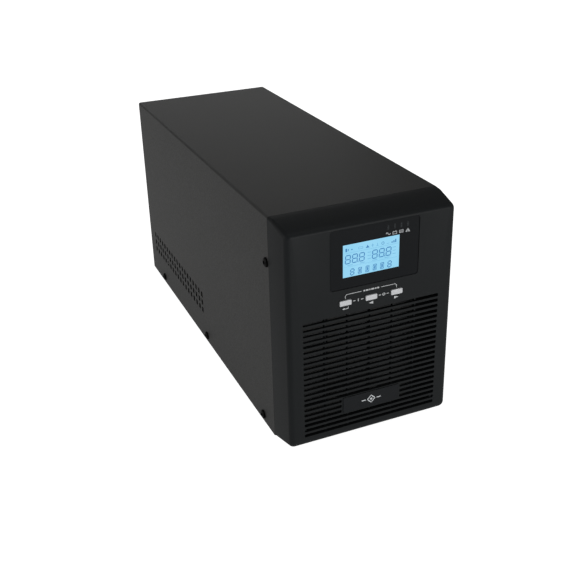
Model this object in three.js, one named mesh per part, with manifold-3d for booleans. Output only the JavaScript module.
// Tower uninterruptible power supply, built as an assembly.
// Millimetres, +Z up, front face towards -Y, origin on the floor under the middle of the body.

import * as THREE from 'three';
import { mergeVertices } from 'three/addons/utils/BufferGeometryUtils.js';
import Module from 'manifold-3d';

const wasm = await Module();
wasm.setup();

// ---------------------------------------------------------------- driving dimensions

const GAP = 0.3; // clearance kept between neighbouring pieces
const PAST = 1; // how far a cutting tool runs past the face it cuts
const SINK = 0.5; // how deep joined solids run into each other
const SIDES = [-1, 1];
const WIDTH = 145; // over the cover's sides
const FRONT_Y = -200; // front face of the bezel
const COVER_REAR_Y = 196;
const FLOOR_GAP = 4; // height of the body above the floor
const TOP_Z = 198;

const HALF = WIDTH / 2;
const JOINT_Y = FRONT_Y + 30; // back edge of the bezel
const COVER_FRONT_Y = JOINT_Y + GAP;
const COVER_SHEET = 1;
const CHASSIS_SHEET = 1.2;
const CHASSIS_HALF = HALF - COVER_SHEET - GAP;
const PAN_TOP_Z = FLOOR_GAP + CHASSIS_SHEET;
const CHASSIS_TOP_Z = TOP_Z - COVER_SHEET - GAP;
const PAN_FLANGE_Z = 17;
const PAN_SEAT_Z = PAN_TOP_Z + GAP; // what stands on the pan starts here

const BULKHEAD_Y = JOINT_Y + 2.3;
const BULKHEAD_BACK_Y = BULKHEAD_Y + CHASSIS_SHEET;
const BULKHEAD_WINDOW = { rows: 5, columns: 3, pitchX: 38, pitchZ: 18, width: 30, height: 12, z: 30 };
const CABLE_PASS = { x: -38, z: 141, width: 16, height: 10 };
const PANEL_OUT_Y = COVER_REAR_Y - 2; // outer face of the rear panel
const PANEL_IN_Y = PANEL_OUT_Y - CHASSIS_SHEET;
const ON_PANEL_Y = PANEL_OUT_Y + GAP; // seat of the parts on the rear panel
const PANEL_FLANGE = 10;

const BEZEL_WALL = 2.5;
const BEZEL_IN_Y = FRONT_Y + BEZEL_WALL;
const FRONT_HALF = 70.9; // half width of the front before its edges are rounded
const FRONT_LOW_Z = FLOOR_GAP + 5.9;
const FRONT_HIGH_Z = TOP_Z - 4.7;
const SLOPE_Y = FRONT_Y + 23.5; // where the top starts to slope down to the front
const BEZEL_ROUND = { y: 4.2, side: 4.2, low: 4.7, high: 2.5, corner: 2.5 }; // reach of its rounded edges
const BEZEL_CORNER = { front: 4.6, joint: 2.2 };
const BEZEL_BOSS = { x: 60, z: [22, 128], radius: 4 };

const SLOT_COUNT = 22;
const SLOT_PITCH = 4.75;
const SLOT_HEIGHT = 2.8;
const SLOT_TOP_Z = 118.7; // centre of the top slot
const SLOT_HALF = 58.75;
const BADGE_ROWS = [16, 17, 18]; // slots that the badge interrupts
const BADGE_Z = SLOT_TOP_Z - BADGE_ROWS[1] * SLOT_PITCH;
const BADGE_HALF = 25;
const BADGE_HEIGHT = 14;
const BADGE_SEAT = 0.5;
const BADGE_PROUD = 0.5;

const WINDOW = { x0: -36, x1: 39.4, z0: 141.4, z1: 190.4, depth: 1, corner: 2.5 };
const LCD = { x0: -25.1, x1: 22.3, z0: 150.8, z1: 177.2 };
const LIGHT_X = [12.4, 18, 23.6, 29.2];
const LIGHT_Z = 184.9;
const LIGHT_SIZE = { width: 1.5, height: 3.8 };
const BUTTON_X = { left: -23.3, centre: -1.3, right: 20.7 };
const BUTTON_Z = 130.1;
const BUTTON_SIZE = { width: 9.9, height: 4.3, proud: 0.9, travel: 0.8 };
const BOARD_Y = FRONT_Y + 12; // front face of the display board
const BOARD_SHEET = 1.6;
const SWITCH = { size: 6, rise: 4.3 };
const LAMP = { width: 3.2, height: 2.4, rise: 1.2 };
const FILM = 0.6; // thickness of the display overlay
const FIT = 0.1; // close clearance around the display parts

const VENT = { y0: 9, z0: 32, columns: 19, rows: 3, pitch: 9.1, width: 4.4, height: 5.4, rise: 8.4 };
const SIDE_SCREWS = [
  { y: JOINT_Y + 5, z: 159.5 },
  { y: FRONT_Y + 54, z: 10.5 },
  { y: FRONT_Y + 202, z: 10.5 },
  { y: FRONT_Y + 349, z: 10.5 },
];
const SCREW = { head: 3.9, rise: 2.2, shank: 1.9, length: 6, hole: 2.3 };
const FOOT = { x: 54, y: [-128, 152], radius: 9, ease: 0.8, taper: 0.6, pip: 3 };

const BATTERY = { width: 65, length: 151, height: 94, lid: 4, waist: 0.6 };
const POST = { inX: 9, inY: 8, width: 6.4, thick: 1.2, rise: 3.4 };
const BATTERY_FRONT_Y = -165;
const BATTERY_Z = PAN_SEAT_Z;
const BATTERY_TOP_Z = BATTERY_Z + BATTERY.height;
const SHELF_Z = 107;
const BOARD_Z = SHELF_Z + CHASSIS_SHEET + 5; // underside of the main board
const BOARD_TOP_Z = BOARD_Z + BOARD_SHEET;
const ON_BOARD_Z = BOARD_TOP_Z + GAP;

const FAN = { x: -27, z: 150, half: 40, depth: 25, bore: 37.5, hub: 16, bolts: 35.75 };
const FAN_OUT_Y = PANEL_IN_Y - GAP;
const FAN_IN_Y = FAN_OUT_Y - FAN.depth;
const SOCKET = { x: [-40, 12], z: 76, half: 24, well: 19.5, depth: 17.5, body: 21.4 };
const INLET = { x: -40, z: 30, cutout: { width: 28.6, height: 20.6 } };
const BREAKER = { x: 4, z: 30, bore: 3.6, cap: 3.3, neck: 5.4 };
const SLOT_COVER = { x: 44, z: 168, width: 46, height: 40, cutout: { width: 36, height: 32 } };
const SERIAL = { x: 44, z: 134, cutout: { width: 20, height: 11 } };
const USB = { x: 32, z: 116, cutout: { width: 13, height: 12 } };
const EPO = { x: 56, z: 116, cutout: { width: 13, height: 9 } };
const JACKS = { x: 54, z: 78, cutout: { width: 17.4, height: 32.6 } };
const EARTH = { x: 40, z: 30 };
const REAR_VENT = { x: 54, z: 41.5, rows: 4, pitch: 4.4, cutout: { width: 24, height: 2.2 } };

// ---------------------------------------------------------------- materials

const FINISH = {
  coverPaint: { color: 0x2c2c2b, roughness: 0.55, metalness: 0.3 },
  chassisSteel: { color: 0x8d9091, roughness: 0.45, metalness: 0.8 },
  bezelPlastic: { color: 0x1d1f20, roughness: 0.6, metalness: 0 },
  blackPlastic: { color: 0x141516, roughness: 0.5, metalness: 0 },
  overlayFilm: { color: 0x17191a, roughness: 0.3, metalness: 0 },
  lcdGlass: { color: 0x86c6ec, roughness: 0.2, metalness: 0 },
  lightGuide: { color: 0x4a4d4f, roughness: 0.3, metalness: 0 },
  buttonPlastic: { color: 0xb4b6b8, roughness: 0.5, metalness: 0 },
  badge: { color: 0x1b1d1f, roughness: 0.35, metalness: 0.2 },
  screwBlack: { color: 0x0c0c0c, roughness: 0.35, metalness: 0.7 },
  rubber: { color: 0x101010, roughness: 0.9, metalness: 0 },
  batteryCase: { color: 0x35383b, roughness: 0.6, metalness: 0 },
  circuitBoard: { color: 0x1e5a36, roughness: 0.5, metalness: 0 },
  aluminium: { color: 0xb9bcbf, roughness: 0.4, metalness: 1 },
  capacitor: { color: 0x22252c, roughness: 0.35, metalness: 0 },
  ferrite: { color: 0x3a3b3d, roughness: 0.7, metalness: 0 },
  copper: { color: 0xa4622f, roughness: 0.4, metalness: 0.9 },
  redWire: { color: 0xa51616, roughness: 0.5, metalness: 0 },
  blackWire: { color: 0x151515, roughness: 0.5, metalness: 0 },
  greyCable: { color: 0x8b8e91, roughness: 0.6, metalness: 0 },
  greenPlastic: { color: 0x2f7d4a, roughness: 0.5, metalness: 0 },
  nickel: { color: 0xb7b6b0, roughness: 0.3, metalness: 1 },
};

// ---------------------------------------------------------------- geometry helpers

const AXES = {
  x: new THREE.Matrix4().makeBasis(
    new THREE.Vector3(0, 1, 0), new THREE.Vector3(0, 0, 1), new THREE.Vector3(1, 0, 0)),
  y: new THREE.Matrix4().makeBasis(
    new THREE.Vector3(1, 0, 0), new THREE.Vector3(0, 0, 1), new THREE.Vector3(0, -1, 0)),
  z: new THREE.Matrix4(),
};

function toSolid(geometry) {
  const bare = geometry.clone();
  bare.deleteAttribute('normal');
  bare.deleteAttribute('uv');
  const merged = mergeVertices(bare, 1e-4);
  return new wasm.Manifold(new wasm.Mesh({
    numProp: 3,
    vertProperties: Float32Array.from(merged.attributes.position.array),
    triVerts: Uint32Array.from(merged.index.array),
  }));
}

function toGeometry(solid) {
  const mesh = solid.getMesh();
  const geometry = new THREE.BufferGeometry();
  geometry.setAttribute('position', new THREE.BufferAttribute(Float32Array.from(mesh.vertProperties), 3));
  geometry.setIndex(new THREE.BufferAttribute(Uint32Array.from(mesh.triVerts), 1));
  geometry.computeVertexNormals();
  return geometry;
}

function join(...solids) {
  return solids.reduce((whole, piece) => whole.add(piece));
}

function cut(solid, ...tools) {
  return tools.reduce((whole, tool) => whole.subtract(tool), solid);
}

function box(x0, x1, y0, y1, z0, z1) {
  const geometry = new THREE.BoxGeometry(x1 - x0, y1 - y0, z1 - z0);
  geometry.translate((x0 + x1) / 2, (y0 + y1) / 2, (z0 + z1) / 2);
  return toSolid(geometry);
}

// A box whose face towards -Y is centred on (x, z).
function block(x, z, width, height, y0, y1) {
  return box(x - width / 2, x + width / 2, y0, y1, z - height / 2, z + height / 2);
}

// A wall standing along one side of the body, its outer face at the given half width.
function sideWall(side, half, thick, y0, y1, z0, z1) {
  const [outer, inner] = [side * half, side * (half - thick)];
  return box(Math.min(outer, inner), Math.max(outer, inner), y0, y1, z0, z1);
}

// A shape drawn in (y, z), (x, z) or (x, y) and extruded along the remaining axis.
function prism(axis, shape, from, to, curveSegments = 4) {
  const geometry = new THREE.ExtrudeGeometry(shape, { depth: to - from, bevelEnabled: false, curveSegments });
  geometry.applyMatrix4(AXES[axis]);
  const start = { x: [from, 0, 0], y: [0, to, 0], z: [0, 0, from] }[axis];
  geometry.translate(...start);
  return toSolid(geometry);
}

function roundedRect(u0, u1, v0, v1, radius) {
  const shape = new THREE.Shape();
  shape.moveTo(u0 + radius, v0);
  shape.lineTo(u1 - radius, v0);
  shape.absarc(u1 - radius, v0 + radius, radius, -Math.PI / 2, 0);
  shape.lineTo(u1, v1 - radius);
  shape.absarc(u1 - radius, v1 - radius, radius, 0, Math.PI / 2);
  shape.lineTo(u0 + radius, v1);
  shape.absarc(u0 + radius, v1 - radius, radius, Math.PI / 2, Math.PI);
  shape.lineTo(u0, v0 + radius);
  shape.absarc(u0 + radius, v0 + radius, radius, Math.PI, Math.PI * 1.5);
  return shape;
}

function centredRect(u, v, width, height, radius) {
  return roundedRect(u - width / 2, u + width / 2, v - height / 2, v + height / 2, radius);
}

function polygon(points) {
  return new THREE.Shape(points.map(([u, v]) => new THREE.Vector2(u, v)));
}

// A turned solid: profile points are [radius, height] from one end of the axis to the other.
function turned(axis, centre, profile, segments) {
  const points = profile.map(([radius, height]) => new THREE.Vector2(radius, height));
  const geometry = new THREE.LatheGeometry(points, segments);
  if (axis === 'z') geometry.rotateX(Math.PI / 2);
  if (axis === 'x') geometry.rotateZ(-Math.PI / 2);
  geometry.translate(...centre);
  return toSolid(geometry);
}

function cylinder(axis, centre, radius, from, to, segments) {
  return turned(axis, centre, [[0, from], [radius, from], [radius, to], [0, to]], segments);
}

// ---------------------------------------------------------------- assembly

const ups = new THREE.Group();

function addPart(name, solid, finish) {
  const mesh = new THREE.Mesh(toGeometry(solid), new THREE.MeshStandardMaterial(FINISH[finish]));
  mesh.name = name;
  ups.add(mesh);
}

// ---------------------------------------------------------------- sheet-metal body

function coverOutline() {
  const outer = 2;
  const inner = outer - COVER_SHEET;
  const shape = new THREE.Shape();
  shape.moveTo(HALF, FLOOR_GAP);
  shape.lineTo(HALF, TOP_Z - outer);
  shape.absarc(HALF - outer, TOP_Z - outer, outer, 0, Math.PI / 2);
  shape.lineTo(outer - HALF, TOP_Z);
  shape.absarc(outer - HALF, TOP_Z - outer, outer, Math.PI / 2, Math.PI);
  shape.lineTo(-HALF, FLOOR_GAP);
  shape.lineTo(COVER_SHEET - HALF, FLOOR_GAP);
  shape.lineTo(COVER_SHEET - HALF, TOP_Z - outer);
  shape.absarc(outer - HALF, TOP_Z - outer, inner, Math.PI, Math.PI / 2, true);
  shape.lineTo(HALF - outer, TOP_Z - COVER_SHEET);
  shape.absarc(HALF - outer, TOP_Z - outer, inner, Math.PI / 2, 0, true);
  shape.lineTo(HALF - COVER_SHEET, FLOOR_GAP);
  return shape;
}

function ventSlots() {
  const slots = [];
  for (let row = 0; row < VENT.rows; row += 1) {
    for (let column = 0; column < VENT.columns; column += 1) {
      const y = VENT.y0 + column * VENT.pitch;
      const z = VENT.z0 + row * VENT.rise;
      slots.push(box(-HALF - PAST, HALF + PAST, y, y + VENT.width, z, z + VENT.height));
    }
  }
  return slots;
}

// The screws' holes run through the cover and the chassis on both sides.
function screwHoles() {
  return SIDE_SCREWS.map(({ y, z }) => cylinder('x', [0, y, z], SCREW.hole, -HALF - PAST, HALF + PAST, 8));
}

function topCover() {
  const shell = prism('y', coverOutline(), COVER_FRONT_Y, COVER_REAR_Y);
  return cut(shell, ...screwHoles(), ...ventSlots());
}

function basePan() {
  const rear = PANEL_IN_Y - GAP;
  const outline = polygon([
    [-CHASSIS_HALF, FLOOR_GAP], [CHASSIS_HALF, FLOOR_GAP], [CHASSIS_HALF, PAN_FLANGE_Z],
    [CHASSIS_HALF - CHASSIS_SHEET, PAN_FLANGE_Z], [CHASSIS_HALF - CHASSIS_SHEET, PAN_TOP_Z],
    [CHASSIS_SHEET - CHASSIS_HALF, PAN_TOP_Z], [CHASSIS_SHEET - CHASSIS_HALF, PAN_FLANGE_Z],
    [-CHASSIS_HALF, PAN_FLANGE_Z],
  ]);
  const pipHoles = FOOT.y.flatMap((y) => SIDES.map((side) => cylinder(
    'z', [side * FOOT.x, y, 0], FOOT.pip + GAP, FLOOR_GAP - PAST, PAN_TOP_Z + PAST, 8)));
  return cut(prism('y', outline, BULKHEAD_Y, rear), ...pipHoles, ...screwHoles());
}

function bulkheadWindows() {
  const { rows, columns, pitchX, pitchZ, width, height, z } = BULKHEAD_WINDOW;
  const windows = [];
  for (let row = 0; row < rows; row += 1) {
    for (let column = 0; column < columns; column += 1) {
      const x = (column - (columns - 1) / 2) * pitchX;
      windows.push(block(x, z + row * pitchZ, width, height, BULKHEAD_Y - PAST, BULKHEAD_BACK_Y + PAST));
    }
  }
  return windows;
}

function frontBulkhead() {
  const [toeInset, flangeDepth, flangeLift] = [2, 10, 8];
  const plate = box(-CHASSIS_HALF, CHASSIS_HALF, BULKHEAD_Y, BULKHEAD_BACK_Y,
    PAN_FLANGE_Z + GAP, CHASSIS_TOP_Z);
  const toe = box(toeInset - CHASSIS_HALF, CHASSIS_HALF - toeInset, BULKHEAD_Y, BULKHEAD_BACK_Y,
    PAN_SEAT_Z, PAN_FLANGE_Z + SINK);
  const flanges = SIDES.map((side) => sideWall(side, CHASSIS_HALF, CHASSIS_SHEET,
    BULKHEAD_Y, BULKHEAD_Y + flangeDepth, BATTERY_TOP_Z + flangeLift, CHASSIS_TOP_Z));
  const { x, z, width, height } = CABLE_PASS;
  const cablePass = block(x, z, width, height, BULKHEAD_Y - PAST, BULKHEAD_BACK_Y + PAST);
  return cut(join(plate, toe, ...flanges), ...bulkheadWindows(), cablePass, ...screwHoles());
}

function rearPanel() {
  const flangeY = PANEL_IN_Y - PANEL_FLANGE;
  const flangeLift = 4;
  const sides = SIDES.map((side) => sideWall(side, CHASSIS_HALF, CHASSIS_SHEET,
    flangeY, PANEL_OUT_Y, SHELF_Z + flangeLift, CHASSIS_TOP_Z));
  const topFlange = box(-CHASSIS_HALF, CHASSIS_HALF, flangeY, PANEL_OUT_Y,
    CHASSIS_TOP_Z - CHASSIS_SHEET, CHASSIS_TOP_Z);
  const plate = box(-CHASSIS_HALF, CHASSIS_HALF, PANEL_IN_Y, PANEL_OUT_Y, PAN_SEAT_Z, CHASSIS_TOP_Z);
  return cut(join(plate, topFlange, ...sides), ...panelCutouts());
}

function panelCutouts() {
  const [y0, y1] = [PANEL_IN_Y - PAST, PANEL_OUT_Y + PAST];
  const round = ({ x, z }, radius, segments) => cylinder('y', [x, 0, z], radius, y0, y1, segments);
  const square = ({ x, z, cutout }, corner, segments = 1) => prism(
    'y', centredRect(x, z, cutout.width, cutout.height, corner), y0, y1, segments);
  const slots = Array.from({ length: REAR_VENT.rows }, (_, row) => square(
    { ...REAR_VENT, z: REAR_VENT.z + row * REAR_VENT.pitch }, 0.2));
  return [
    round(FAN, FAN.bore - 1, 32),
    ...SOCKET.x.map((x) => round({ x, z: SOCKET.z }, SOCKET.body + GAP, 24)),
    square(INLET, 1, 2),
    round(BREAKER, BREAKER.neck + 0.4, 16),
    square(SLOT_COVER, 1),
    square(SERIAL, 1),
    square(USB, 0.5),
    square(EPO, 0.5),
    square(JACKS, 0.5),
    ...slots,
  ];
}

function foot(x, y) {
  const top = FLOOR_GAP - GAP;
  const { radius, ease, taper, pip } = FOOT;
  const profile = [
    [0, 0], [radius - ease, 0], [radius, ease], [radius - taper, top], [pip, top], [pip, PAN_TOP_Z],
    [0, PAN_TOP_Z],
  ];
  return turned('z', [x, y, 0], profile, 12);
}

// The head's underside sits just off the cover.
function coverScrew(side, y, z) {
  const seat = HALF + GAP / 3;
  const { head, rise, shank, length } = SCREW;
  const dome = [[1, 0], [0.94, 0.5], [0.66, 0.87], [0, 1]].map(([u, v]) => [head * u, seat + rise * v]);
  const profile = [[0, seat - length], [shank, seat - length], [shank, seat], ...dome];
  const screw = toGeometry(turned('x', [0, y, z], profile, 14));
  if (side < 0) screw.rotateZ(Math.PI).translate(0, 2 * y, 0);
  return toSolid(screw);
}

// ---------------------------------------------------------------- front bezel

// One closed ring of the bezel's outline in the X-Z plane at a given y.
function bezelRing({ y, half, low, high, corner }) {
  const steps = 5;
  const corners = [
    [half - corner, high - corner, 0], [corner - half, high - corner, 90],
    [corner - half, low + corner, 180], [half - corner, low + corner, 270],
  ];
  return corners.flatMap(([cx, cz, start]) => Array.from({ length: steps + 1 }, (_, i) => {
    const angle = THREE.MathUtils.degToRad(start + (90 * i) / steps);
    return new THREE.Vector3(cx + corner * Math.cos(angle), y, cz + corner * Math.sin(angle));
  }));
}

// Skins a solid through a row of rings and closes both ends with a fan.
function lofted(rings) {
  const count = rings[0].length;
  const vertices = rings.flat().flatMap((point) => point.toArray());
  const index = [];
  rings.slice(1).forEach((_, r) => {
    for (let i = 0; i < count; i += 1) {
      const j = (i + 1) % count;
      const [a, b] = [r * count + i, r * count + j];
      const [c, d] = [a + count, b + count];
      index.push(a, d, b, a, c, d);
    }
  });
  [0, rings.length - 1].forEach((r) => {
    const middle = new THREE.Vector3();
    rings[r].forEach((point) => middle.addScaledVector(point, 1 / count));
    const hub = vertices.length / 3;
    vertices.push(...middle.toArray());
    for (let i = 0; i < count; i += 1) {
      const [a, b] = [r * count + i, r * count + ((i + 1) % count)];
      index.push(...(r === 0 ? [hub, a, b] : [hub, b, a]));
    }
  });
  const geometry = new THREE.BufferGeometry();
  geometry.setAttribute('position', new THREE.BufferAttribute(Float32Array.from(vertices), 3));
  geometry.setIndex(index);
  return toSolid(geometry);
}

// The bezel's form, shrunk inwards by inset. The front edges are quarter ellipses, the lower
// one larger than the upper one, and the sides spread slightly towards the joint.
function bezelForm(inset, backY, steps) {
  const scale = inset > 0 ? 0.5 : 1;
  const along = (y) => (y - FRONT_Y) / (JOINT_Y - FRONT_Y);
  const limits = (y) => ({
    y: y + inset,
    half: THREE.MathUtils.lerp(FRONT_HALF, HALF, along(y)) - inset,
    low: THREE.MathUtils.lerp(FRONT_LOW_Z, FLOOR_GAP, along(y)) + inset,
    high: THREE.MathUtils.lerp(FRONT_HIGH_Z, TOP_Z, Math.min(1, (y - FRONT_Y) / (SLOPE_Y - FRONT_Y))) - inset,
    corner: THREE.MathUtils.lerp(BEZEL_CORNER.front, BEZEL_CORNER.joint, along(y)) * scale,
  });
  const rings = [];
  for (let i = 0; i <= steps; i += 1) {
    const angle = (Math.PI / 2) * (i / steps);
    const draw = scale * (1 - Math.sin(angle));
    const ring = limits(FRONT_Y + scale * BEZEL_ROUND.y * (1 - Math.cos(angle)));
    ring.half -= BEZEL_ROUND.side * draw;
    ring.low += BEZEL_ROUND.low * draw;
    ring.high -= BEZEL_ROUND.high * draw;
    ring.corner -= BEZEL_ROUND.corner * draw;
    rings.push(ring);
  }
  rings.push(limits(SLOPE_Y));
  rings.push({ ...limits(JOINT_Y), y: backY });
  return lofted(rings.map(bezelRing));
}

// A slot with eased ends.
function slotShape(x0, x1, z) {
  const [rise, ease] = [SLOT_HEIGHT / 2, 0.6];
  return polygon([
    [x0, z - rise + ease], [x0 + ease, z - rise], [x1 - ease, z - rise], [x1, z - rise + ease],
    [x1, z + rise - ease], [x1 - ease, z + rise], [x0 + ease, z + rise], [x0, z + rise - ease],
  ]);
}

function grilleSlots() {
  const badgeEnd = BADGE_HALF + 1.2;
  const slots = [];
  for (let row = 0; row < SLOT_COUNT; row += 1) {
    const z = SLOT_TOP_Z - row * SLOT_PITCH;
    const spans = BADGE_ROWS.includes(row)
      ? [[-SLOT_HALF, -badgeEnd], [badgeEnd, SLOT_HALF]]
      : [[-SLOT_HALF, SLOT_HALF]];
    spans.forEach(([x0, x1]) => {
      slots.push(prism('y', slotShape(x0, x1, z), FRONT_Y - PAST, BEZEL_IN_Y + PAST));
    });
  }
  return slots;
}

function bezelOpenings() {
  const through = (shape, segments) => prism('y', shape, FRONT_Y - PAST, BEZEL_IN_Y + PAST, segments);
  const recess = (shape, depth, segments) => prism('y', shape, FRONT_Y - PAST, FRONT_Y + depth, segments);
  const { x0, x1, z0, z1, corner, depth } = WINDOW;
  const lcdRoom = 1;
  return [
    recess(roundedRect(x0, x1, z0, z1, corner), depth, 4),
    through(roundedRect(LCD.x0 - lcdRoom, LCD.x1 + lcdRoom, LCD.z0 - lcdRoom, LCD.z1 + lcdRoom, 0.5), 1),
    ...LIGHT_X.map((x) => through(
      centredRect(x, LIGHT_Z, LIGHT_SIZE.width + 2 * GAP, LIGHT_SIZE.height + 2 * GAP, 0.3), 1)),
    ...Object.values(BUTTON_X).map((x) => through(
      centredRect(x, BUTTON_Z, BUTTON_SIZE.width + 2 * GAP, BUTTON_SIZE.height + 2 * GAP, 1), 3)),
    recess(centredRect(0, BADGE_Z, 2 * (BADGE_HALF + GAP), BADGE_HEIGHT + 2 * GAP, 1), BADGE_SEAT, 3),
  ];
}

function frontBezel() {
  const shell = cut(bezelForm(0, JOINT_Y, 6), bezelForm(BEZEL_WALL, JOINT_Y + PAST, 2));
  const open = cut(shell, ...bezelOpenings(), ...grilleSlots());
  const bosses = SIDES.flatMap((side) => BEZEL_BOSS.z.map((z) => cylinder(
    'y', [side * BEZEL_BOSS.x, 0, z], BEZEL_BOSS.radius, BEZEL_IN_Y - SINK, BULKHEAD_Y - GAP, 8)));
  return join(open, ...bosses);
}

function badgePlate() {
  const shape = centredRect(0, BADGE_Z, 2 * BADGE_HALF, BADGE_HEIGHT, 0.8);
  return prism('y', shape, FRONT_Y - BADGE_PROUD, FRONT_Y + BADGE_SEAT - FIT, 3);
}

// ---------------------------------------------------------------- display and buttons

function displayOverlay() {
  const seat = FRONT_Y + WINDOW.depth - FIT;
  const face = seat - FILM;
  const sheet = prism('y', roundedRect(WINDOW.x0 + GAP, WINDOW.x1 - GAP, WINDOW.z0 + GAP,
    WINDOW.z1 - GAP, WINDOW.corner - GAP), face, seat, 4);
  const view = box(LCD.x0 - FIT, LCD.x1 + FIT, face - PAST, seat + PAST, LCD.z0 - FIT, LCD.z1 + FIT);
  const lights = LIGHT_X.map((x) => block(
    x, LIGHT_Z, LIGHT_SIZE.width + 2 * FIT, LIGHT_SIZE.height + 2 * FIT, face - PAST, seat + PAST));
  return cut(sheet, view, ...lights);
}

// The glass in its frame, which is wider than the glass on every side.
function lcdModule() {
  const glassY = [FRONT_Y + 0.5, FRONT_Y + 5];
  const frame = { side: 4, low: 4, high: 3 };
  return join(
    box(LCD.x0, LCD.x1, ...glassY, LCD.z0, LCD.z1),
    box(LCD.x0 - frame.side, LCD.x1 + frame.side, BEZEL_IN_Y + GAP, BOARD_Y - GAP,
      LCD.z0 - frame.low, LCD.z1 + frame.high));
}

function lightGuide() {
  const bar = { over: 1.5, depth: 3 - GAP, height: 3.6 };
  const barY = BEZEL_IN_Y + GAP;
  const fingerY = FRONT_Y + GAP;
  const middle = (LIGHT_X[0] + LIGHT_X[3]) / 2;
  const length = LIGHT_X[3] - LIGHT_X[0] + 2 * bar.over;
  const fingers = LIGHT_X.map((x) => block(
    x, LIGHT_Z, LIGHT_SIZE.width, LIGHT_SIZE.height, fingerY, barY + SINK));
  return join(block(middle, LIGHT_Z, length, bar.height, barY, barY + bar.depth), ...fingers);
}

function displayBoard() {
  const back = BOARD_Y + BOARD_SHEET;
  const header = { x: -33, z: 156, width: 8, height: 20, rise: 6 };
  const chip = { x: 0, z: 158, width: 16, height: 16, rise: 2 };
  const plate = prism('y', roundedRect(-38, 40, 119, 187.5, 2), BOARD_Y, back, 2);
  const lamps = LIGHT_X.map((x) => block(
    x, LIGHT_Z, LAMP.width, LAMP.height, BOARD_Y - LAMP.rise, BOARD_Y + SINK));
  const switches = Object.values(BUTTON_X).map((x) => block(
    x, BUTTON_Z, SWITCH.size, SWITCH.size, BOARD_Y - SWITCH.rise, BOARD_Y + SINK));
  const rear = [header, chip].map(({ x, z, width, height, rise }) => block(
    x, z, width, height, back - SINK, back + rise));
  return join(plate, ...lamps, ...switches, ...rear);
}

// Each cap passes through the bezel, and a flange behind it keeps it in.
function menuButton(x) {
  const { width, height, proud, travel } = BUTTON_SIZE;
  const flange = { y: BEZEL_IN_Y + FIT, over: 1.2, thick: 1.2 };
  const stem = { width: 3, end: BOARD_Y - SWITCH.rise - travel - 0.2 };
  return join(
    prism('y', centredRect(x, BUTTON_Z, width, height, 0.8), FRONT_Y - proud, flange.y + SINK, 3),
    block(x, BUTTON_Z, width + 2 * flange.over, height + 2 * flange.over, flange.y, flange.y + flange.thick),
    block(x, BUTTON_Z, stem.width, stem.width, flange.y + SINK, stem.end));
}

// A lead along a smooth path.
function lead(points, radius, steps) {
  const path = new THREE.CatmullRomCurve3(points.map((point) => new THREE.Vector3(...point)));
  const section = new THREE.Shape();
  section.absarc(0, 0, radius, 0, Math.PI * 2);
  return toSolid(new THREE.ExtrudeGeometry(section, { steps, extrudePath: path, curveSegments: 2 }));
}

// From the board's header, through the bulkhead, and down to the main board.
function displayCable() {
  const route = [
    [-38, BOARD_Y + 8.5, 152], [-38, BOARD_Y + 11.5, 147], [-38, BULKHEAD_Y - 3, 142],
    [-38, BULKHEAD_Y + 8, 141], [-38, BULKHEAD_Y + 20, 136], [-40, BULKHEAD_Y + 32, 126],
    [-41, BULKHEAD_Y + 36, 121],
  ];
  return lead(route, 2.2, 22);
}

// ---------------------------------------------------------------- batteries

function battery(column, row) {
  const { width, length, lid, waist } = BATTERY;
  const x0 = column === 0 ? -width - GAP / 2 : GAP / 2;
  const y0 = BATTERY_FRONT_Y + row * (length + GAP);
  const [x1, y1] = [x0 + width, y0 + length];
  const lidZ = BATTERY_TOP_Z - lid;
  const grooveZ = lidZ - 0.8;
  const jar = box(x0, x1, y0, y1, BATTERY_Z, grooveZ);
  const neck = box(x0 + waist, x1 - waist, y0 + waist, y1 - waist, grooveZ - SINK, lidZ + SINK);
  const cap = box(x0, x1, y0, y1, lidZ, BATTERY_TOP_Z);
  const postY = row === 0 ? y1 - POST.inY : y0 + POST.inY;
  const posts = [x0 + POST.inX, x1 - POST.inX].map((x) => box(x - POST.width / 2, x + POST.width / 2,
    postY - POST.thick / 2, postY + POST.thick / 2, BATTERY_TOP_Z - SINK, BATTERY_TOP_Z + POST.rise));
  return join(jar, neck, cap, ...posts);
}

// An upright plate with a toe, behind the last pair of batteries.
function batteryRetainer() {
  const y0 = BATTERY_FRONT_Y + 2 * BATTERY.length + 2 * GAP + 0.5;
  const y1 = y0 + CHASSIS_SHEET;
  const [half, toeDepth] = [66, 9];
  const hole = { x: 33, z: 56, size: 38, corner: 4 };
  const upright = box(-half, half, y0, y1, PAN_SEAT_Z, SHELF_Z - GAP);
  const toe = box(-half, half, y0, y0 + toeDepth, PAN_SEAT_Z, PAN_SEAT_Z + CHASSIS_SHEET);
  const windows = SIDES.map((side) => prism(
    'y', centredRect(side * hole.x, hole.z, hole.size, hole.size, hole.corner), y0 - PAST, y1 + PAST, 1));
  return cut(join(upright, toe), ...windows);
}

// From a post of the front pair, up through the shelf to the main board.
function batteryLead(side) {
  const x = side * (POST.inX + GAP / 2);
  const y = BATTERY_FRONT_Y + BATTERY.length - POST.inY;
  const route = [
    [x, y - 1.3, BATTERY_TOP_Z + 2.6], [x + side * 2, y - 10, BATTERY_TOP_Z + 2.8],
    [x + side * 5, y - 26, BATTERY_TOP_Z + 3], [x + side * 6, y - 40, BATTERY_TOP_Z + 3.4],
    [x + side * 6, y - 50, SHELF_Z], [x + side * 6, y - 52, BOARD_Z - 0.8],
  ];
  return lead(route, 1.9, 16);
}

// ---------------------------------------------------------------- electronics bay

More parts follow.
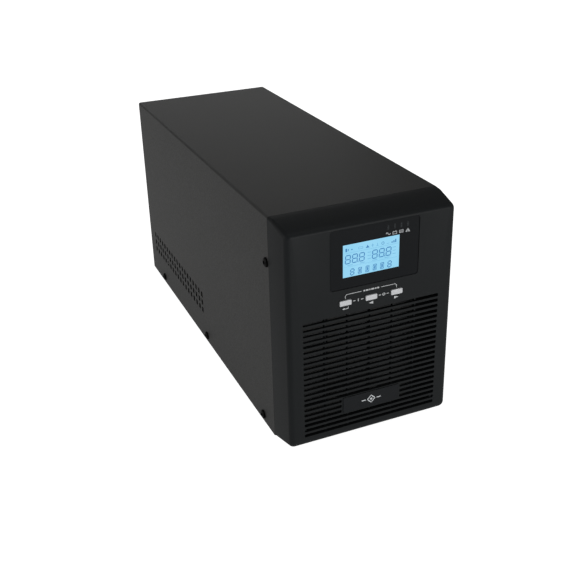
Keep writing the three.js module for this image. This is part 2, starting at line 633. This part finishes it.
function electronicsShelf() {
  const [half, y0, y1] = [CHASSIS_HALF - 2, BULKHEAD_BACK_Y + GAP, PANEL_IN_Y - GAP];
  const top = SHELF_Z + CHASSIS_SHEET;
  const flange = { y0: y0 + 14, y1: PANEL_IN_Y - PANEL_FLANGE - 2, rise: 8 };
  const standoff = { x: 56, y: [-130, 0, 130], radius: 3 };
  const leadPass = prism('z', centredRect(0, -70, 50, 20, 3), SHELF_Z - PAST, top + PAST, 1);
  const flanges = SIDES.map((side) => sideWall(
    side, half, CHASSIS_SHEET, flange.y0, flange.y1, SHELF_Z, top + flange.rise));
  const standoffs = SIDES.flatMap((side) => standoff.y.map((y) => cylinder(
    'z', [side * standoff.x, y, 0], standoff.radius, top - SINK, BOARD_Z - GAP, 6)));
  const sheet = box(-half, half, y0, y1, SHELF_Z, top);
  return cut(join(sheet, ...flanges, ...standoffs), leadPass);
}

// The board, with the low components that have no node of their own.
function mainBoard() {
  const components = [
    { x: [-6, 30], y: [60, 88], rise: 20 },
    { x: [-50, -34], y: [118, 138], rise: 12 },
    { x: [-30, -12], y: [118, 134], rise: 9 },
    { x: [44, 58], y: [60, 132], rise: 14 },
    { x: [-48, -34], y: [-136, -124], rise: 3 },
  ];
  const plate = box(-62, 62, -140, 142, BOARD_Z, BOARD_TOP_Z);
  return join(plate, ...components.map(({ x, y, rise }) => box(
    ...x, ...y, BOARD_TOP_Z - SINK, BOARD_TOP_Z + rise)));
}

// Finned extrusion lying along Y with its back plate on the inner side.
function heatsink(side) {
  const [fins, pitch, thin, plate, reach] = [8, 6.4, 1.8, 3, 24];
  const [x0, y0, y1] = [side * 30, -70, 50];
  const points = [[0, ON_BOARD_Z]];
  for (let fin = 0; fin < fins; fin += 1) {
    const z = ON_BOARD_Z + fin * pitch;
    points.push([reach, z], [reach, z + thin]);
    if (fin < fins - 1) points.push([plate, z + thin], [plate, z + pitch]);
  }
  points.push([0, ON_BOARD_Z + (fins - 1) * pitch + thin]);
  const outline = points.map(([u, z]) => [x0 + side * u, z]);
  return prism('y', polygon(side > 0 ? outline : outline.reverse()), y0, y1);
}

// Two rows of two behind the front edge of the main board.
function busCapacitor(index) {
  const [radius, height, ease] = [9, 40, 1];
  const [column, row] = [index % 2, Math.floor(index / 2)];
  const [x, y, top] = [column * 26 - 13, row * 20 - 118, ON_BOARD_Z + height];
  const profile = [
    [0, ON_BOARD_Z], [radius, ON_BOARD_Z], [radius, top - ease], [radius - ease, top], [0, top],
  ];
  return turned('z', [x, y, 0], profile, 12);
}

// A laminated core standing round a winding that shows on both sides.
function powerTransformer() {
  const [half, y0, y1] = [20, -60, -20];
  const core = { inset: 10, height: 38 };
  const winding = { inset: 8, low: 7, high: 31, corner: 6 };
  return join(
    box(-half, half, y0 + core.inset, y1 - core.inset, ON_BOARD_Z, ON_BOARD_Z + core.height),
    prism('x', roundedRect(y0, y1, ON_BOARD_Z + winding.low, ON_BOARD_Z + winding.high, winding.corner),
      winding.inset - half, half - winding.inset, 2));
}

// A wound ring standing upright on a small base.
function filterInductor() {
  const [y, z] = [22, ON_BOARD_Z + 17];
  const base = { halfX: 6, halfY: 12, height: 3 };
  const ring = new THREE.TorusGeometry(12, 5, 6, 14);
  ring.rotateY(Math.PI / 2).translate(0, y, z);
  return join(toSolid(ring), box(
    -base.halfX, base.halfX, y - base.halfY, y + base.halfY, ON_BOARD_Z, ON_BOARD_Z + base.height));
}

function relayBank() {
  const relay = { x: -56, pitch: 14, width: 13, y: [66, 94], height: 18 };
  const tray = { x: [-57, -14], y: [65, 95], height: 1.5 };
  const relays = [0, 1, 2].map((i) => relay.x + i * relay.pitch).map((x) => box(
    x, x + relay.width, ...relay.y, ON_BOARD_Z + tray.height - SINK, ON_BOARD_Z + relay.height));
  return join(box(...tray.x, ...tray.y, ON_BOARD_Z, ON_BOARD_Z + tray.height), ...relays);
}

// A second board standing on edge along the right side.
function controlBoard() {
  const [x0, x1] = [58, 58 + BOARD_SHEET];
  const chip = { size: 18, rise: 2, places: [[-110, 34], [-60, 30], [-14, 36]] };
  const edge = { over: 3, y: [-60, 0], height: 10 };
  const plate = box(x0, x1, -134, 40, ON_BOARD_Z + 8, ON_BOARD_Z + 66);
  const chips = chip.places.map(([y, z]) => box(x0 - chip.rise, x0 + SINK, y, y + chip.size,
    ON_BOARD_Z + z, ON_BOARD_Z + z + chip.size));
  const connector = box(x0 - edge.over, x1 + edge.over, ...edge.y, ON_BOARD_Z, ON_BOARD_Z + edge.height);
  return join(plate, connector, ...chips);
}

// ---------------------------------------------------------------- fan

const FAN_BOLTS = SIDES.flatMap((across) => SIDES.map((up) => ({
  x: FAN.x + across * FAN.bolts, z: FAN.z + up * FAN.bolts,
})));

// A bar along X, turned by the given degrees about the fan's axis.
function fanArm(geometry, degrees, y) {
  geometry.rotateY(THREE.MathUtils.degToRad(degrees)).translate(FAN.x, y, FAN.z);
  return toSolid(geometry);
}

function fanFrame() {
  const { x, z, half, bore, hub } = FAN;
  const axle = (radius, y0, y1, segments) => cylinder('y', [x, 0, z], radius, y0, y1, segments);
  const strut = { length: bore + 1 - hub / 2, width: 3.4, thick: 3 };
  const square = prism('y', centredRect(x, z, 2 * half, 2 * half, 5), FAN_IN_Y, FAN_OUT_Y, 3);
  const duct = axle(bore, FAN_IN_Y - PAST, FAN_OUT_Y + PAST, 32);
  const holes = FAN_BOLTS.map((bolt) => cylinder('y', [bolt.x, 0, bolt.z], 2.2,
    FAN_IN_Y - PAST, FAN_OUT_Y + PAST, 6));
  const struts = [45, 135, 225, 315].map((degrees) => {
    const bar = new THREE.BoxGeometry(strut.length, strut.thick, strut.width);
    return fanArm(bar.translate((hub + strut.length) / 2, 0, 0), degrees, FAN_OUT_Y - 2);
  });
  const motor = axle(hub, FAN_OUT_Y - 4, FAN_OUT_Y, 24);
  const bearing = axle(4, FAN_OUT_Y - 14, FAN_OUT_Y - 3, 16);
  const bearingBore = axle(1.6, FAN_OUT_Y - 15, FAN_OUT_Y - 1.5, 16);
  return cut(join(cut(square, duct, ...holes), motor, ...struts, bearing), bearingBore);
}

function fanRotor() {
  const { x, z, bore, hub } = FAN;
  const axle = (radius, y0, y1, segments) => cylinder('y', [x, 0, z], radius, y0, y1, segments);
  const [front, back] = [FAN_IN_Y + 1.5, FAN_OUT_Y - 5];
  const blade = { count: 7, chord: 17, thick: 1.6, pitch: 48, root: hub - 1, tip: bore - 1 };
  const cup = cut(axle(hub, front, back, 24), axle(hub - 1.8, front + 2, back + PAST, 24));
  const shaft = axle(1.5, front + 1, FAN_OUT_Y - 2.5, 16);
  const blades = Array.from({ length: blade.count }, (_, i) => {
    const plate = new THREE.BoxGeometry(blade.tip - blade.root, blade.chord, blade.thick);
    plate.rotateX(THREE.MathUtils.degToRad(blade.pitch)).translate((blade.root + blade.tip) / 2, 0, 0);
    return fanArm(plate, (i * 360) / blade.count, (front + back) / 2);
  });
  return join(cup, shaft, ...blades);
}

// Wire rings on two crossed rods, held at the corners by four screws.
function fanGuard() {
  const { x, z, bolts } = FAN;
  const wire = 0.9;
  const y = ON_PANEL_Y + 2 * wire + 1.2;
  const rings = [12, 22, 32].map((radius) => {
    const ring = new THREE.TorusGeometry(radius, wire, 4, 20);
    return toSolid(ring.rotateX(Math.PI / 2).translate(x, y, z));
  });
  const rods = [45, 135].map((degrees) => {
    const rod = new THREE.CylinderGeometry(wire, wire, 2 * bolts * Math.SQRT2, 4);
    return fanArm(rod.rotateZ(Math.PI / 2), degrees, y - 1.5 * wire);
  });
  const screw = [[0, ON_PANEL_Y], [4.4, ON_PANEL_Y], [4.4, y - wire], [3.4, y], [2.6, y + 1.4], [0, y + 1.6]];
  const screws = FAN_BOLTS.map((bolt) => turned('y', [bolt.x, 0, bolt.z], screw, 8));
  return join(...rings, ...rods, ...screws);
}

// ---------------------------------------------------------------- rear connectors

// Two-pole socket in a round well, with an earth clip above and below.
function outputSocket(x) {
  const { z, half, well, depth, body } = SOCKET;
  const [rim, face, inner] = [ON_PANEL_Y + 4.4, ON_PANEL_Y + 3, PANEL_OUT_Y - depth - 8];
  const floor = rim - depth;
  const contact = { x: 9.5, radius: 2.5, depth: 10 };
  const clip = { width: 5, thick: 3.8, z: well - 1.6 };
  const round = (radius, y0, y1) => cylinder('y', [x, 0, z], radius, y0, y1, 24);
  const plate = prism('y', centredRect(x, z, 2 * half, 2 * half, 4), ON_PANEL_Y, face, 3);
  const collar = round(well + 1.9, inner, rim);
  const hub = round(body, inner, ON_PANEL_Y + 1);
  const contacts = SIDES.map((side) => cylinder(
    'y', [x + side * contact.x, 0, z], contact.radius, floor - contact.depth, rim, 8));
  const clips = SIDES.map((up) => block(x, z + up * clip.z, clip.width, clip.thick, floor - 1, rim - 4));
  return join(cut(join(plate, collar, hub), round(well, floor, rim + PAST), ...contacts), ...clips);
}

// Three-blade appliance inlet: the mouth has its two lower corners cut off.
function acInlet() {
  const { x, z } = INLET;
  const mouth = (w, h, c) => polygon([
    [x - w + c, z - h], [x + w - c, z - h], [x + w, z - h + c], [x + w, z + h], [x - w, z + h],
    [x - w, z - h + c],
  ]);
  const lip = ON_PANEL_Y + 3.2;
  const blade = { width: 2, height: 4, y0: lip - 17.5, y1: lip - 5, places: [[-7, 2], [0, -2], [7, 2]] };
  const screw = [
    [0, ON_PANEL_Y + 2], [3, ON_PANEL_Y + 2], [2.7, ON_PANEL_Y + 3.6], [0, ON_PANEL_Y + 4.2],
  ];
  const flange = prism('y', centredRect(x, z, 50, 24, 5), ON_PANEL_Y, ON_PANEL_Y + 2.4, 3);
  const collar = prism('y', mouth(13.8, 10, 5), PANEL_OUT_Y - 22, lip);
  const cavity = prism('y', mouth(12.1, 8.3, 4.4), lip - 16.5, lip + PAST);
  const blades = blade.places.map(([dx, dz]) => block(
    x + dx, z + dz, blade.width, blade.height, blade.y0, blade.y1));
  const screws = SIDES.map((side) => turned('y', [x + side * 20, 0, z], screw, 12));
  return join(cut(join(flange, collar), cavity), ...blades, ...screws);
}

function circuitBreaker() {
  const { x, z, bore, neck } = BREAKER;
  const body = { width: 16, height: 26, depth: 26 };
  const nut = { radius: 8.2, thick: 2.8 };
  const back = PANEL_IN_Y - GAP;
  const round = (radius, y0, y1, segments) => cylinder('y', [x, 0, z], radius, y0, y1, segments);
  const whole = join(
    block(x, z, body.width, body.height, back - body.depth, back),
    round(neck, back - SINK, PANEL_OUT_Y + 4.4, 16),
    round(nut.radius, ON_PANEL_Y, ON_PANEL_Y + nut.thick, 6));
  return cut(whole, round(bore, PANEL_IN_Y - 14, COVER_REAR_Y + 4, 16));
}

function breakerButton() {
  const { x, z, cap } = BREAKER;
  const [inner, outer, ease] = [PANEL_IN_Y - 12, PANEL_OUT_Y + 6, 0.8];
  const profile = [[0, inner], [cap, inner], [cap, outer - ease], [cap - ease, outer], [0, outer]];
  return turned('y', [x, 0, z], profile, 16);
}

// Two network jacks, one above the other, each with a notch for the plug's latch.
function surgeJacks() {
  const { x, z } = JACKS;
  const face = ON_PANEL_Y + 0.9;
  const lip = 1;
  const body = { width: 16.8, height: 32, depth: 16 };
  const port = { offset: 8, depth: 13, width: 11.8, height: 7, drop: -0.1 };
  const notch = { width: 6, height: 2.4, drop: 4.2 };
  const shell = join(
    block(x, z, body.width, body.height, PANEL_IN_Y - body.depth, face),
    block(x, z, body.width + 2 * lip, body.height + 2 * lip, ON_PANEL_Y, face));
  const ports = SIDES.flatMap((up) => [port, notch].map(({ width, height, drop }) => block(
    x, z + up * port.offset - drop, width, height, face - port.depth, face + PAST)));
  return cut(shell, ...ports);
}

// Square device port: the mouth has its two upper corners cut off.
function usbPort() {
  const { x, z } = USB;
  const face = ON_PANEL_Y + 0.9;
  const [depth, half, halfZ, chamfer] = [9, 4.3, 3.9, 1.5];
  const mouth = polygon([
    [x - half, z - halfZ], [x + half, z - halfZ], [x + half, z + halfZ - chamfer],
    [x + half - chamfer, z + halfZ], [x - half + chamfer, z + halfZ], [x - half, z + halfZ - chamfer],
  ]);
  const shell = block(x, z, 12, 11.2, PANEL_IN_Y - 14, face);
  const tongue = block(x, z, 5.6, 3.1, face - depth - SINK, face - 1);
  return join(cut(shell, prism('y', mouth, face - depth, face + PAST)), tongue);
}

// Nine-way port: five pin holes over four, in a shell that is wider at the top.
function serialPort() {
  const { x, z } = SERIAL;
  const shell = { low: 7.2, high: 8.4, half: 3.9, proud: 5, depth: 9 };
  const pin = { pitch: 2.77, row: 1.4, radius: 0.6 };
  const post = { x: 12.5, radius: 2.6 };
  const outline = polygon([
    [x - shell.low, z - shell.half], [x + shell.low, z - shell.half],
    [x + shell.high, z + shell.half], [x - shell.high, z + shell.half],
  ]);
  const outer = ON_PANEL_Y + shell.proud;
  const flange = prism('y', centredRect(x, z, 31, 12.6, 2), ON_PANEL_Y, ON_PANEL_Y + 0.9, 2);
  const posts = SIDES.map((side) => cylinder(
    'y', [x + side * post.x, 0, z], post.radius, ON_PANEL_Y + SINK, outer, 6));
  const rows = [{ count: 5, z: z + pin.row }, { count: 4, z: z - pin.row }];
  const pins = rows.flatMap((row) => Array.from({ length: row.count }, (_, i) => cylinder(
    'y', [x + (i - (row.count - 1) / 2) * pin.pitch, 0, row.z], pin.radius, outer - 3, outer + PAST, 6)));
  return cut(join(flange, prism('y', outline, PANEL_IN_Y - shell.depth, outer), ...posts), ...pins);
}

function epoTerminal() {
  const { x, z } = EPO;
  const face = ON_PANEL_Y + 4.5;
  const mouth = { x: 2.6, drop: 0.3, width: 2.8, height: 3.4, depth: 5 };
  const mouths = SIDES.map((side) => block(
    x + side * mouth.x, z - mouth.drop, mouth.width, mouth.height, face - mouth.depth, face + PAST));
  return cut(block(x, z, 12, 8.2, PANEL_IN_Y - 8, face), ...mouths);
}

// Blanking plate with a thumbscrew on each side.
function slotCover() {
  const { x, z, width, height } = SLOT_COVER;
  const knob = { x: width / 2 - 4.6, radius: 3.4, top: ON_PANEL_Y + 5.2, ease: 0.8 };
  const profile = [
    [0, ON_PANEL_Y + SINK], [knob.radius, ON_PANEL_Y + SINK], [knob.radius, knob.top - knob.ease],
    [knob.radius - 0.6, knob.top], [0, knob.top],
  ];
  const plate = prism('y', centredRect(x, z, width, height, 1.5), ON_PANEL_Y, ON_PANEL_Y + CHASSIS_SHEET, 2);
  const knobs = SIDES.map((side) => turned('y', [x + side * knob.x, 0, z], profile, 12));
  return join(plate, ...knobs);
}

// Washer, nut and stud end.
function earthStud() {
  const washer = { radius: 5, thick: 1 };
  const nut = { radius: 3.7, top: 3.4 };
  const stud = { radius: 2.4, top: 4.4 };
  const profile = [
    [0, 0], [washer.radius, 0], [washer.radius, washer.thick], [nut.radius, washer.thick],
    [nut.radius, nut.top], [stud.radius, stud.top], [0, stud.top],
  ];
  return turned('y', [EARTH.x, 0, EARTH.z], profile.map(([radius, y]) => [radius, ON_PANEL_Y + y]), 12);
}

// ---------------------------------------------------------------- all the parts, in place

addPart('top_cover', topCover(), 'coverPaint');
addPart('base_pan', basePan(), 'chassisSteel');
addPart('front_bulkhead', frontBulkhead(), 'coverPaint');
addPart('rear_panel', rearPanel(), 'coverPaint');
addPart('front_bezel', frontBezel(), 'bezelPlastic');
addPart('badge_plate', badgePlate(), 'badge');
addPart('display_overlay', displayOverlay(), 'overlayFilm');
addPart('lcd_module', lcdModule(), 'lcdGlass');
addPart('light_guide', lightGuide(), 'lightGuide');
addPart('display_board', displayBoard(), 'circuitBoard');
addPart('display_cable', displayCable(), 'greyCable');
for (const [place, x] of Object.entries(BUTTON_X)) {
  addPart(`menu_button_${place}`, menuButton(x), 'buttonPlastic');
}
SIDE_SCREWS.forEach(({ y, z }, i) => {
  addPart(`cover_screw_left_${i + 1}`, coverScrew(-1, y, z), 'screwBlack');
  addPart(`cover_screw_right_${i + 1}`, coverScrew(1, y, z), 'screwBlack');
});
['front', 'rear'].forEach((end, i) => {
  addPart(`foot_${end}_left`, foot(-FOOT.x, FOOT.y[i]), 'rubber');
  addPart(`foot_${end}_right`, foot(FOOT.x, FOOT.y[i]), 'rubber');
});
for (let i = 0; i < 4; i += 1) {
  addPart(`battery_${i + 1}`, battery(i % 2, Math.floor(i / 2)), 'batteryCase');
}
addPart('battery_retainer', batteryRetainer(), 'chassisSteel');
addPart('battery_lead_positive', batteryLead(-1), 'redWire');
addPart('battery_lead_negative', batteryLead(1), 'blackWire');
addPart('electronics_shelf', electronicsShelf(), 'chassisSteel');
addPart('main_board', mainBoard(), 'circuitBoard');
addPart('heatsink_left', heatsink(-1), 'aluminium');
addPart('heatsink_right', heatsink(1), 'aluminium');
for (let i = 0; i < 4; i += 1) {
  addPart(`bus_capacitor_${i + 1}`, busCapacitor(i), 'capacitor');
}
addPart('power_transformer', powerTransformer(), 'ferrite');
addPart('filter_inductor', filterInductor(), 'copper');
addPart('relay_bank', relayBank(), 'blackPlastic');
addPart('control_board', controlBoard(), 'circuitBoard');
addPart('fan_frame', fanFrame(), 'blackPlastic');
addPart('fan_rotor', fanRotor(), 'blackPlastic');
addPart('fan_guard', fanGuard(), 'nickel');
addPart('output_socket_left', outputSocket(SOCKET.x[0]), 'blackPlastic');
addPart('output_socket_right', outputSocket(SOCKET.x[1]), 'blackPlastic');
addPart('ac_inlet', acInlet(), 'blackPlastic');
addPart('circuit_breaker', circuitBreaker(), 'blackPlastic');
addPart('breaker_reset_button', breakerButton(), 'buttonPlastic');
addPart('surge_jacks', surgeJacks(), 'blackPlastic');
addPart('usb_port', usbPort(), 'nickel');
addPart('serial_port', serialPort(), 'nickel');
addPart('epo_terminal', epoTerminal(), 'greenPlastic');
addPart('option_slot_cover', slotCover(), 'coverPaint');
addPart('earth_stud', earthStud(), 'nickel');

export default ups;
